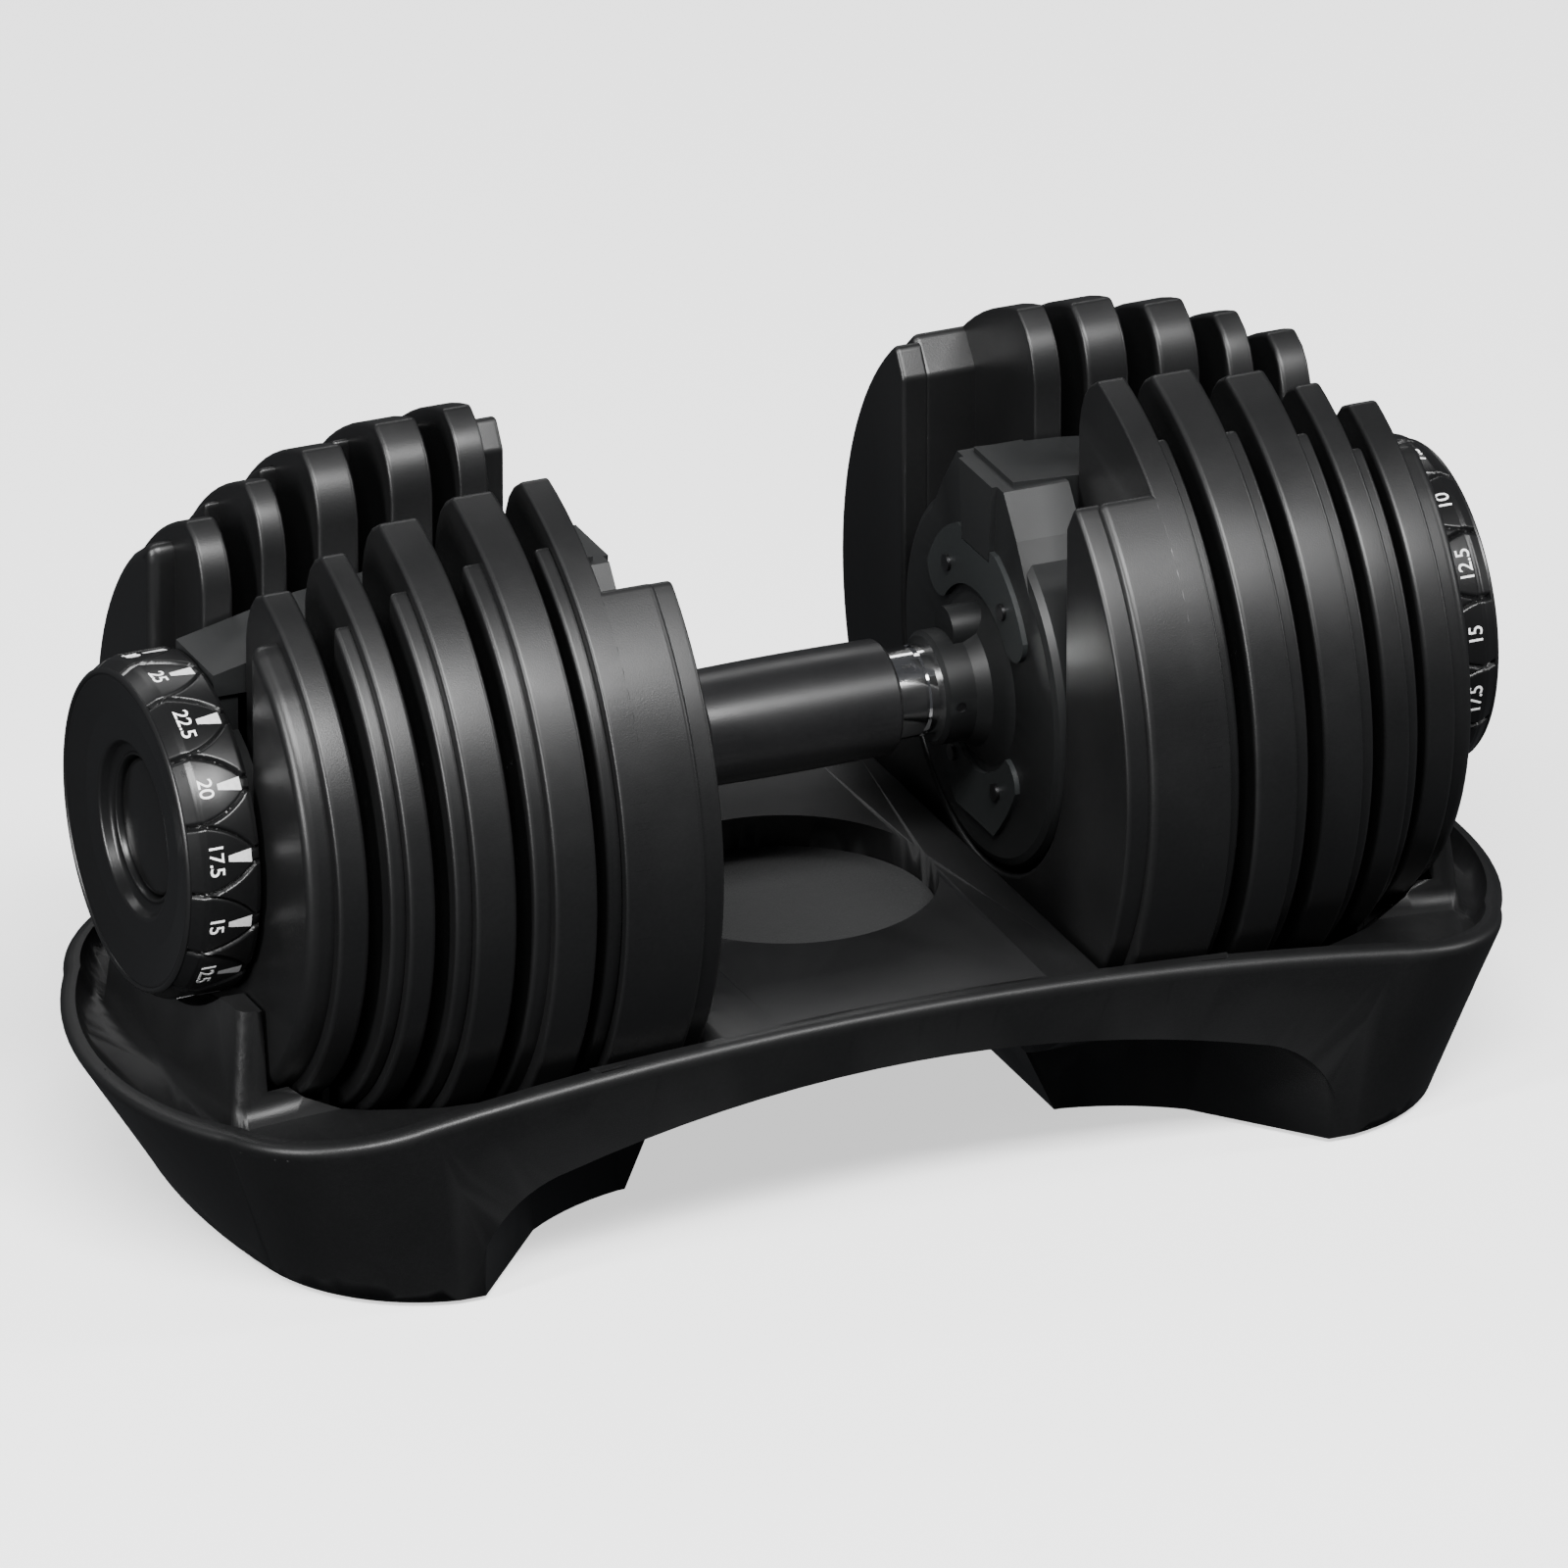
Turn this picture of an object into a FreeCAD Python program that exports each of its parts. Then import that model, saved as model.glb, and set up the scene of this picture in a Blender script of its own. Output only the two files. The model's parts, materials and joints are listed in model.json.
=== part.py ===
import FreeCAD, Part
import math
import os
from FreeCAD import Vector

# Adjustable dial dumbbell resting in its tray.  Millimetres, +Z up, X along the
# handle, the origin on the floor under the middle.  Shapes are drawn with Z
# measured from the dumbbell's axis and raised by AXIS_HEIGHT when written.

AXIS_HEIGHT = 119.5
FLOOR = -AXIS_HEIGHT

# grip and handle tube
TUBE_RADIUS = 13.0
TUBE_BORE = 9.0
TUBE_HALF = 64.0
GRIP_HALF = 30.0
GRIP_END_RADIUS = 16.5
GRIP_MIDDLE_RADIUS = 16.9
ROD_RADIUS = 5.0
ROD_HALF = 190.0

# inner housing, bridge and end housing of each side (x is the distance from the middle)
HOUSING_X = 60.0
HOUSING_END = 80.0
HOUSING_RADIUS = 54.3
COLLAR_X = 42.0
BRIDGE_HALF = 13.6
BRIDGE_BOTTOM = 42.4
BRIDGE_TOP = [(64.0, 65.0), (90.0, 63.5), (143.0, 57.0), (178.4, 49.0)]
END_HOUSING_X = 170.4
END_HOUSING_END = 178.4
END_HOUSING_RADIUS = 33.0

# rotating parts
RUNNING_GAP = 0.05
JOURNAL_RADIUS = 8.5
BUSH_RADIUS = 10.5
HEX_FLATS = 18.0
SHAFT_X = 70.0
SHAFT_END = 186.0
DIAL_X = 179.0
DIAL_END = 200.0
DIAL_RADIUS = 48.4
DIAL_BORE = 44.0
CAP_RADIUS = 19.8
SETTINGS = [5, 7.5, 10, 12.5, 15, 17.5, 20, 22.5, 25, 30, 35, 40, 45, 50, 52.5]
BARE_HANDLE = 5.0
STEP_ANGLE = 24.0
REST_SETTING = {"left": 8, "right": 1}
TURN_SIGN = {"left": -1, "right": 1}

# weight plates, inner to outer: radius, inner face, end of band, outer face, pounds
PLATES = [
    (102.0, 61.0, 91.8, 96.0, 10.0),
    (101.0, 99.8, 112.6, 117.5, 5.0),
    (97.0, 122.3, 134.6, 139.3, 5.0),
    (90.5, 143.9, 151.8, 156.0, 2.5),
    (82.4, 160.4, 169.6, 177.0, 1.25),
]
LAST = len(PLATES) - 1
STRIP_DROP = 3.6
SLOT_HALF = 15.0
SLOT_TOP = 120.0
HORN_DROP = 22.0
RECESS_HALF = 46.0
LAST_RECESS_HALF = 35.5
POCKET_HALF = 56.2
POCKET_END = 83.3
CORE_WALL = [1.8, 2.9, 2.0, 2.0, 4.5]

# selector discs and the lugs they lift by
RING_OUTER = 38.4
RING_INNER = 34.8
LUG_OUTER = 34.0
LUG_INNER = 28.5
LUG_HALF = 4.0
LUG_REACH = 3.2
DISC_WEB = 1.6
FLANGE_END_GAP = 0.7
DISC_GAP = 0.6

# lock pins
PIN_X = 171.8
PIN_END = 175.8
PIN_HALF = 3.0
PIN_BOTTOM = -35.2
PIN_TOP = -18.0
PIN_SLIDE_GAP = 0.06
TOOTH_REACH = 183.2
TOOTH_HIGH = -19.6
TOOTH_LOW = -24.0
INDEX_X = 180.0
INDEX_END = 183.6
INDEX_INNER = 26.0
NOTCH_RADIUS = 32.6
NOTCH_HALF = 3.5
SPRING_TOP = -12.3
SPRING_RADIUS = 1.6
SPRING_WIRE = 0.35

# tray
RIM_HEIGHT = 69.3
ARCH_RADIUS = 1042.0
RIM_WIDTH = 6.0
DECK_HEIGHT = 68.5
DECK_HALF = 56.0
DECK_WALL = 60.0
GUTTER_HEIGHT = 42.5
GUTTER_DEPTH = 6.5
GUTTER_X = 97.0
SHELL_WALL = 3.0
RECESS_RADIUS = 43.6
RECESS_DEPTH = 10.4
INLAY_THICKNESS = 1.0
FOOT_HEIGHT = 1.5
WELL_GAP = 1.2
RACK_X = 97.0
RACK_RADIUS = 104.9
RACK_FLAT = -104.0
RACK_HALF = 44.0
RACK_TOP = -60.0
DIAL_BED_RADIUS = 51.5
BLOCK_TOP = 80.0


def point(plane, u, v, offset):
    places = {"yz": (offset, u, v), "xz": (u, offset, v), "xy": (u, v, offset)}
    return Vector(*places[plane])


def outline(plane, offset, start, *steps):
    """A closed face: each step is a point, or a pair (point on arc, end point)."""
    edges = []
    last = point(plane, start[0], start[1], offset)
    first = last
    for step in steps:
        if isinstance(step[0], tuple):
            middle = point(plane, step[0][0], step[0][1], offset)
            end = point(plane, step[1][0], step[1][1], offset)
            edges.append(Part.Arc(last, middle, end).toShape())
        else:
            end = point(plane, step[0], step[1], offset)
            edges.append(Part.LineSegment(last, end).toShape())
        last = end
    if last.distanceToPoint(first) > 1e-6:
        edges.append(Part.LineSegment(last, first).toShape())
    return Part.Wire(edges)


def prism(plane, start_at, end_at, start, *steps):
    wire = outline(plane, start_at, start, *steps)
    push = point(plane, 0, 0, end_at - start_at)
    return Part.Face(wire).extrude(push)


def turned(profile):
    """Solid of revolution about the X axis from (x, radius) points."""
    wire = outline("xz", 0.0, profile[0], *profile[1:])
    return Part.Face(wire).revolve(Vector(0, 0, 0), Vector(1, 0, 0), 360)


def rod(radius, x0, x1, y=0.0, z=0.0):
    return Part.makeCylinder(radius, x1 - x0, Vector(x0, y, z), Vector(1, 0, 0))


def post(radius, z0, z1, x=0.0, y=0.0):
    return Part.makeCylinder(radius, z1 - z0, Vector(x, y, z0))


def block(x0, x1, y0, y1, z0, z1):
    return Part.makeBox(x1 - x0, y1 - y0, z1 - z0, Vector(x0, y0, z0))


def hexagon(flats, x0, x1):
    corner = flats / math.sqrt(3.0)
    corners = [(corner * math.cos(math.radians(60 * k)), corner * math.sin(math.radians(60 * k)))
               for k in range(6)]
    return prism("yz", x0, x1, corners[0], *corners[1:])


def joined(shapes):
    whole = shapes[0]
    for shape in shapes[1:]:
        whole = whole.fuse(shape)
    return whole.removeSplitter()


def mirrored(shape):
    return shape.mirror(Vector(0, 0, 0), Vector(1, 0, 0))


def on_side(shape, side):
    return shape if side == "right" else mirrored(shape)


def about_axis(shape, angle):
    copy = shape.copy()
    copy.rotate(Vector(0, 0, 0), Vector(1, 0, 0), angle)
    return copy


def both_halves(shape):
    """The shape together with its mirror image in Y."""
    return shape.fuse(shape.mirror(Vector(0, 0, 0), Vector(0, 1, 0))).removeSplitter()


def u_slot(half, x0, x1, *wall):
    """A slot round the axis, open at the top; wall gives its rising +Y side."""
    corner = half * math.sqrt(0.5)
    bottom = ((corner, -corner), (half, 0.0))
    return both_halves(prism("yz", x0, x1, (0.0, -half), bottom, *wall, (0.0, SLOT_TOP)))


def horn_slot(radius, x0, x1):
    """The narrow slot of a plate of this radius, with its rounded horn tips."""
    tip = ((SLOT_HALF + 3.4, radius - 12.0), (SLOT_HALF + 13.0, radius - 4.2))
    beyond = (SLOT_HALF + 34.0, radius + 5.0)
    return u_slot(SLOT_HALF, x0, x1, (SLOT_HALF, radius - HORN_DROP), tip, beyond,
                  (beyond[0], SLOT_TOP))


# ---------------------------------------------------------------- weight plates

def plate_hull(index, inset=0.0):
    radius, inner, band_end, outer, pounds = PLATES[index]
    edge = 1.3
    r = radius - inset
    x0 = inner + inset
    x1 = outer - inset
    profile = [(x0, 0.0)]
    if index == 0:
        profile += [(x0, r - 4.4), (x0 + 2.0, r - 2.6), (x0 + 6.0, r - 2.6)]
        profile += [(x0 + 7.4, r - 0.8), (x0 + 8.6, r)]
    else:
        profile += [(x0, r - edge), (x0 + edge, r)]
    band = band_end if index < 4 else band_end - 2.0
    profile += [(band - edge, r), (band, r - edge), (band, r - STRIP_DROP)]
    if index < 4:
        profile += [(x1 - edge, r - STRIP_DROP), (x1, r - STRIP_DROP - edge)]
    else:
        profile += [(x1 - 4.5, r - STRIP_DROP), (x1 - 1.3, r - STRIP_DROP - 1.3)]
        profile += [(x1, r - STRIP_DROP - 4.5)]
    profile += [(x1, 0.0)]
    return turned(profile)


def core_slot(radius, x0, x1, grow):
    """The plate's slot as its steel core has it, cut straight out past the horns."""
    half = SLOT_HALF + grow
    lean = (SLOT_HALF + 34.0, radius)
    return u_slot(half, x0, x1, (half, radius - HORN_DROP - 4.0), lean, (lean[0], SLOT_TOP))


def outer_recess(index, grow):
    """The recess in a plate's outer face that the next selector disc turns in."""
    radius, inner, band_end, outer, pounds = PLATES[index]
    half = grow + (LAST_RECESS_HALF if index == LAST else RECESS_HALF)
    return u_slot(half, band_end - grow, outer + 1.0, (half, SLOT_TOP))


def housing_pocket(grow):
    """The pocket in the first plate's inner face that takes the inner housing."""
    half = POCKET_HALF + grow
    return u_slot(half, PLATES[0][1] - 1.0, POCKET_END + grow, (half, 69.0 - grow),
                  (half + 6.3, 79.0), (half + 20.0, 104.0), (half + 20.0, SLOT_TOP))


def pin_groove(grow):
    """The groove up the last plate's outer face for the lock pin and its post."""
    radius, inner, band_end, outer, pounds = PLATES[LAST]
    return block(PIN_X - 0.8 - grow, outer + 1.0, -6.0 - grow, 6.0 + grow,
                 -radius - 1.0, -LAST_RECESS_HALF + 3.0)


def plate_cutters(index, grow=0.0):
    """Everything that is open in a plate; grow thickens the openings for the core."""
    radius, inner, band_end, outer, pounds = PLATES[index]
    if grow > 0.0:
        cutters = [core_slot(radius, inner - 1.0, outer + 1.0, grow)]
    else:
        cutters = [horn_slot(radius, inner - 1.0, outer + 1.0)]
    cutters.append(outer_recess(index, grow))
    if index == 0:
        cutters.append(housing_pocket(grow))
    if index == LAST:
        cutters.append(pin_groove(grow))
    return cutters


def plate_lug(index):
    """The lug that the selector disc's flange lifts, at the bottom of the slot."""
    radius, inner, band_end, outer, pounds = PLATES[index]
    if index == LAST:
        x0, x1 = inner - LUG_REACH + DISC_GAP, inner + 1.0
    else:
        x0, x1 = band_end - 1.0, band_end + LUG_REACH
    return block(x0, x1, -LUG_HALF, LUG_HALF, -LUG_OUTER, -LUG_INNER)


def plate_core(index):
    return plate_hull(index, CORE_WALL[index]).cut(plate_cutters(index, CORE_WALL[index]))


def plate_jacket(index):
    jacket = plate_hull(index).cut(plate_cutters(index))
    jacket = jacket.fuse(plate_lug(index)).removeSplitter()
    return jacket.cut(plate_core(index))


# ---------------------------------------------------------------- dial assembly

def plates_in(setting):
    """Indexes of the plates that one side lifts at this setting."""
    left_over = (setting - BARE_HANDLE) / 2.0
    chosen = []
    for index, plate in enumerate(PLATES):
        if left_over >= plate[4] - 1e-6:
            chosen.append(index)
            left_over -= plate[4]
    return chosen


def flange(side, index, x0, x1):
    """The ring flange of one selector disc, present only where its plate is lifted."""
    ring = rod(RING_OUTER, x0, x1).cut(rod(RING_INNER, x0, x1))
    half_step = math.radians(STEP_ANGLE / 2.0)
    reach = 60.0
    gap = prism("yz", x0 - 1.0, x1 + 1.0, (0.0, 0.0),
                (reach * math.sin(half_step), -reach), (-reach * math.sin(half_step), -reach))
    for number, setting in enumerate(SETTINGS):
        if index not in plates_in(setting):
            turn = TURN_SIGN[side] * (number - REST_SETTING[side]) * STEP_ANGLE
            ring = ring.cut(about_axis(gap, turn))
    return ring


def selector_disc(side, index):
    band_end = PLATES[index][2]
    ring_start = band_end + FLANGE_END_GAP
    web_start = band_end + LUG_REACH + DISC_GAP
    web_end = web_start + DISC_WEB
    disc = rod(RING_OUTER, web_start, web_end)
    disc = disc.fuse(flange(side, index, ring_start, web_start))
    if index == 3:
        last = flange(side, 4, web_end, PLATES[4][1] - FLANGE_END_GAP)
        disc = disc.fuse(last)
    hub = rod(13.6, web_start, web_end + DISC_GAP)
    return disc.fuse(hub).cut(hexagon(HEX_FLATS, web_start - 1, web_end + 2)).removeSplitter()


def selector_discs(side):
    return Part.makeCompound([selector_disc(side, index) for index in range(4)])


def dial_shaft():
    """Hexagonal tube with round journals where it turns in the housings."""
    shaft = hexagon(HEX_FLATS, HOUSING_END + 0.4, SHAFT_END)
    ring = rod(20.0, END_HOUSING_X - 0.3, END_HOUSING_END + 0.3)
    shaft = shaft.cut(ring.cut(rod(JOURNAL_RADIUS, 160, 190)))
    shaft = shaft.fuse(rod(JOURNAL_RADIUS, SHAFT_X, HOUSING_END + 0.4))
    return shaft.cut(rod(ROD_RADIUS + RUNNING_GAP, SHAFT_X - 1, SHAFT_END + 1)).removeSplitter()


def dial_knob():
    profile = [
        (DIAL_X, DIAL_BORE), (DIAL_X, DIAL_RADIUS - 0.8), (DIAL_X + 0.8, DIAL_RADIUS),
        (DIAL_X + 10.0, DIAL_RADIUS + 0.4), (DIAL_END - 5.0, DIAL_RADIUS - 0.6),
        (DIAL_END - 1.6, DIAL_RADIUS - 2.2), (DIAL_END, 44.4), (DIAL_END - 0.3, 43.2),
        (DIAL_END - 2.3, 34.0), (DIAL_END - 2.5, 25.6), (DIAL_END - 6.2, 22.6),
        (DIAL_END - 6.2, CAP_RADIUS), (DIAL_END - 8.0, CAP_RADIUS), (DIAL_END - 8.0, 9.0),
        (SHAFT_END, 9.0), (SHAFT_END, 8.0), (DIAL_X + 5.6, 8.0), (DIAL_X + 5.6, 15.0),
        (DIAL_END - 10.0, 15.0), (DIAL_END - 10.0, 26.0), (DIAL_END - 8.2, 32.0),
        (DIAL_END - 6.0, DIAL_BORE - 1.0), (DIAL_END - 7.5, DIAL_BORE),
    ]
    return turned(profile).cut(hexagon(HEX_FLATS, DIAL_X, SHAFT_END)).removeSplitter()


def dial_cap():
    front = DIAL_END - 6.6
    profile = [(DIAL_END - 8.0, 0.0), (DIAL_END - 8.0, CAP_RADIUS), (front - 0.6, CAP_RADIUS),
               (front, CAP_RADIUS - 1.2), (front, 0.0)]
    return turned(profile)


def index_ring(side):
    """The notched ring that the lock pin's tooth drops into."""
    ring = rod(DIAL_BORE, INDEX_X, INDEX_END).cut(rod(INDEX_INNER, INDEX_X, INDEX_END))
    notch = block(INDEX_X - 1, INDEX_END + 1, -NOTCH_HALF, NOTCH_HALF, -NOTCH_RADIUS, -INDEX_INNER + 4)
    for number in range(len(SETTINGS)):
        ring = ring.cut(about_axis(notch, number * STEP_ANGLE))
    return ring


# ---------------------------------------------------------------- handle

def handle_tube():
    tube = rod(TUBE_RADIUS, -TUBE_HALF, TUBE_HALF).cut(rod(TUBE_BORE, -TUBE_HALF, TUBE_HALF))
    for sign in (-1, 1):
        for angle in (35.0, 155.0, 275.0):
            centre = sign * 35.0
            slot = block(centre - 2.0, centre + 2.0, -1.4, 1.4, TUBE_RADIUS - 1.2, 20.0)
            tube = tube.cut(about_axis(slot, angle))
        groove = rod(20.0, sign * 39.0 - 0.8, sign * 39.0 + 0.8)
        groove = groove.cut(rod(TUBE_RADIUS - 0.9, -60.0, 60.0))
        tube = tube.cut(groove)
    return tube


def grip_sleeve():
    side = GRIP_HALF - 1.2
    wire = outline("xz", 0.0, (-GRIP_HALF, TUBE_RADIUS), (-GRIP_HALF, GRIP_END_RADIUS - 1.2),
                   (-side, GRIP_END_RADIUS), ((0.0, GRIP_MIDDLE_RADIUS), (side, GRIP_END_RADIUS)),
                   (GRIP_HALF, GRIP_END_RADIUS - 1.2), (GRIP_HALF, TUBE_RADIUS))
    return Part.Face(wire).revolve(Vector(0, 0, 0), Vector(1, 0, 0), 360)


def tie_rod():
    return rod(ROD_RADIUS, -ROD_HALF, ROD_HALF)


def tie_rod_nuts():
    nut = hexagon(13.0, SHAFT_END + 0.4, SHAFT_END + 5.2).cut(rod(ROD_RADIUS, 180, 200))
    return Part.makeCompound([mirrored(nut), nut])


def hub_collar():
    """Collar that flares into the housing face, with a lug for its screw."""
    profile = [(COLLAR_X + 1.0, TUBE_RADIUS), (COLLAR_X + 1.0, 15.2), (COLLAR_X + 2.2, 16.4),
               (COLLAR_X + 10.0, 16.4), (COLLAR_X + 14.0, 18.6), (HOUSING_X, 25.0),
               (HOUSING_X, TUBE_RADIUS)]
    collar = turned(profile)
    saddle = rod(6.6, COLLAR_X + 7.0, HOUSING_X, 0.0, 17.2).cut(rod(TUBE_RADIUS, 30, 70))
    collar = collar.fuse(saddle)
    hole = Part.makeCylinder(1.5, 12, Vector(COLLAR_X + 5.2, 0, 0), Vector(0, -1, 0))
    hole.translate(Vector(0, -TUBE_RADIUS, 0))
    return collar.cut(hole).removeSplitter()


def collar_screws():
    screw = Part.makeCylinder(1.5, 2.9, Vector(COLLAR_X + 5.2, -TUBE_RADIUS, 0), Vector(0, -1, 0))
    return Part.makeCompound([mirrored(screw), screw])


def inner_housing():
    """Shallow cup behind the covers; its boss holds the tube end and a shaft bush."""
    profile = [(HOUSING_X, TUBE_RADIUS), (HOUSING_X, HOUSING_RADIUS - 3.0),
               (HOUSING_X + 0.9, HOUSING_RADIUS - 0.9), (HOUSING_X + 3.0, HOUSING_RADIUS),
               (HOUSING_END, HOUSING_RADIUS), (HOUSING_END, HOUSING_RADIUS - 3.0),
               (HOUSING_X + 4.0, HOUSING_RADIUS - 3.0), (HOUSING_X + 4.0, 17.0),
               (HOUSING_END, 17.0), (HOUSING_END, BUSH_RADIUS), (SHAFT_X, BUSH_RADIUS),
               (SHAFT_X, ROD_RADIUS + 1.0), (TUBE_HALF, ROD_RADIUS + 1.0), (TUBE_HALF, TUBE_RADIUS)]
    housing = turned(profile)
    crown = prism("yz", HOUSING_X, HOUSING_END, (-34.0, 38.0), (-25.0, 52.0), (-16.0, 63.5),
                  (16.0, 63.5), (25.0, 52.0), (34.0, 38.0))
    crown = crown.cut(rod(HOUSING_RADIUS - 3.0, HOUSING_X + 4.0, HOUSING_END))
    housing = housing.fuse(crown)
    rib = prism("yz", HOUSING_X - 1.6, HOUSING_X + 2.0, (-9.0, 40.0), (-11.5, 63.5),
                (11.5, 63.5), (9.0, 40.0))
    housing = housing.fuse(rib)
    seat = block(BRIDGE_TOP[0][0], HOUSING_END + 1, -BRIDGE_HALF, BRIDGE_HALF, BRIDGE_BOTTOM, 80.0)
    housing = housing.cut(seat)
    for y, z in screw_places():
        housing = housing.cut(rod(1.2, HOUSING_X - 1, HOUSING_X + 3.0, y, z))
    return housing.removeSplitter()


def bridge():
    """Channel beam over the selector discs, from the inner housing to the end housing."""
    first, last = BRIDGE_TOP[0], BRIDGE_TOP[-1]
    beam = prism("xz", -BRIDGE_HALF, BRIDGE_HALF, (first[0], BRIDGE_BOTTOM), *BRIDGE_TOP,
                 (last[0], BRIDGE_BOTTOM))
    wall = 3.0
    inside = prism("xz", -BRIDGE_HALF + wall, BRIDGE_HALF - wall,
                   (first[0] + wall, BRIDGE_BOTTOM - 1.0), (first[0] + wall, first[1] - wall),
                   (90.0, 60.5), (143.0, 54.0), (162.0, 49.2), (162.0, BRIDGE_BOTTOM - 1.0))
    return beam.cut(inside)


def end_housing():
    """Plate between the last weight plate and the dial; it guides the lock pin."""
    plate = rod(END_HOUSING_RADIUS, END_HOUSING_X, END_HOUSING_END)
    neck = block(END_HOUSING_X, END_HOUSING_END, -12.0, 12.0, 20.0, BRIDGE_BOTTOM)
    plate = plate.fuse(neck)
    plate = plate.cut(rod(BUSH_RADIUS, END_HOUSING_X - 1, END_HOUSING_END + 1))
    gap = PIN_SLIDE_GAP
    guide = block(PIN_X - gap, PIN_END + gap, -PIN_HALF - gap, PIN_HALF + gap, -40.0, SPRING_TOP)
    window = block(PIN_END, END_HOUSING_END + 1, -PIN_HALF - gap, PIN_HALF + gap, -31.0, -18.8)
    return plate.cut(guide).cut(window).removeSplitter()


def shaft_bushes():
    bushes = []
    for x0, x1 in ((SHAFT_X + 0.4, HOUSING_END), (END_HOUSING_X, END_HOUSING_END)):
        bush = rod(BUSH_RADIUS, x0, x1).cut(rod(JOURNAL_RADIUS + RUNNING_GAP, x0, x1))
        bushes += [bush, mirrored(bush)]
    return Part.makeCompound(bushes)


def screw_places():
    return [(-19.0, 28.5), (19.0, 28.5), (-15.0, -28.5), (15.0, -28.5)]


def cover(direction):
    """Kidney-shaped plate over the housing face, above or below the hub."""
    d = direction
    wide = 33.0 if d > 0 else 28.0
    top = 43.0
    thickness = 1.5
    shape = prism("yz", HOUSING_X - thickness, HOUSING_X, (-wide, 24.0 * d),
                  ((-wide + 6.0, 33.0 * d), (-13.0, top * d)), (13.0, top * d),
                  ((wide - 6.0, 33.0 * d), (wide, 24.0 * d)),
                  ((wide - 5.0, 16.5 * d), (wide - 12.0, 17.5 * d)),
                  ((0.0, 27.5 * d), (-wide + 12.0, 17.5 * d)),
                  ((-wide + 5.0, 16.5 * d), (-wide, 24.0 * d)))
    shape = shape.cut(rod(26.5, HOUSING_X - 3.0, HOUSING_X + 1.0))
    if d > 0:
        rib = prism("yz", HOUSING_X - 3.0, HOUSING_X + 1.0, (-9.4, 39.5), (-12.0, 70.0),
                    (12.0, 70.0), (9.4, 39.5))
        shape = shape.cut(rib)
    for y, z in screw_places():
        shape = shape.cut(rod(1.2, HOUSING_X - 3.0, HOUSING_X + 1.0, y, z))
    return shape.removeSplitter()


def cover_screws():
    screws = []
    for y, z in screw_places():
        screw = rod(2.4, HOUSING_X - 2.5, HOUSING_X - 1.5, y, z)
        screw = screw.fuse(rod(1.2, HOUSING_X - 1.5, HOUSING_X + 3.0, y, z))
        screws += [screw, mirrored(screw)]
    return Part.makeCompound(screws)


def lock_pin():
    pin = block(PIN_X, PIN_END, -PIN_HALF, PIN_HALF, PIN_BOTTOM, PIN_TOP)
    tooth = block(PIN_END - 1.0, TOOTH_REACH, -PIN_HALF, PIN_HALF, TOOTH_LOW, TOOTH_HIGH)
    return pin.fuse(tooth).removeSplitter()


def lock_spring():
    height = SPRING_TOP - PIN_TOP - 2.0 * SPRING_WIRE
    pitch = height / 4.0
    centre = Vector((PIN_X + PIN_END) / 2.0, 0.0, PIN_TOP + SPRING_WIRE)
    path = Part.makeHelix(pitch, height, SPRING_RADIUS)
    section = Part.Wire(Part.Circle(Vector(SPRING_RADIUS, 0, 0), Vector(0, 1, 0), SPRING_WIRE).toShape())
    spring = Part.Wire(path).makePipeShell([section], True, True)
    spring.translate(centre)
    return spring


# ---------------------------------------------------------------- tray

def tray_outline(height, inset=0.0):
    """Plan outline of the leaning skirt at a height above the floor."""
    part = height / RIM_HEIGHT

    def between(floor, top):
        return floor + (top - floor) * part
    side = between(88.0, 95.0) - inset
    straight = between(136.0, 150.0) - inset * 0.4
    bend = (between(161.5, 185.5) - inset * 0.8, between(75.5, 86.6) - inset * 0.7)
    corner = (between(176.5, 202.5) - inset, between(49.0, 65.1) - inset * 0.4)
    end = between(181.0, 225.3) - inset
    return outline("xy", height + FLOOR, (-straight, -side), (straight, -side),
                   ((bend[0], -bend[1]), (corner[0], -corner[1])),
                   ((end, 0.0), (corner[0], corner[1])),
                   ((bend[0], bend[1]), (straight, side)), (-straight, side),
                   ((-bend[0], bend[1]), (-corner[0], corner[1])),
                   ((-end, 0.0), (-corner[0], -corner[1])),
                   ((-bend[0], -bend[1]), (-straight, -side)))


def tray_hull(low, high, inset=0.0):
    return Part.makeLoft([tray_outline(low, inset), tray_outline(high, inset)], True, True)


def crest(drop=0.0):
    """Cylinder under the arched rim; its top is the rim's line, lowered by drop."""
    centre = RIM_HEIGHT + FLOOR - ARCH_RADIUS
    return Part.makeCylinder(ARCH_RADIUS - drop, 300, Vector(0, -150, centre), Vector(0, 1, 0))


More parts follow.
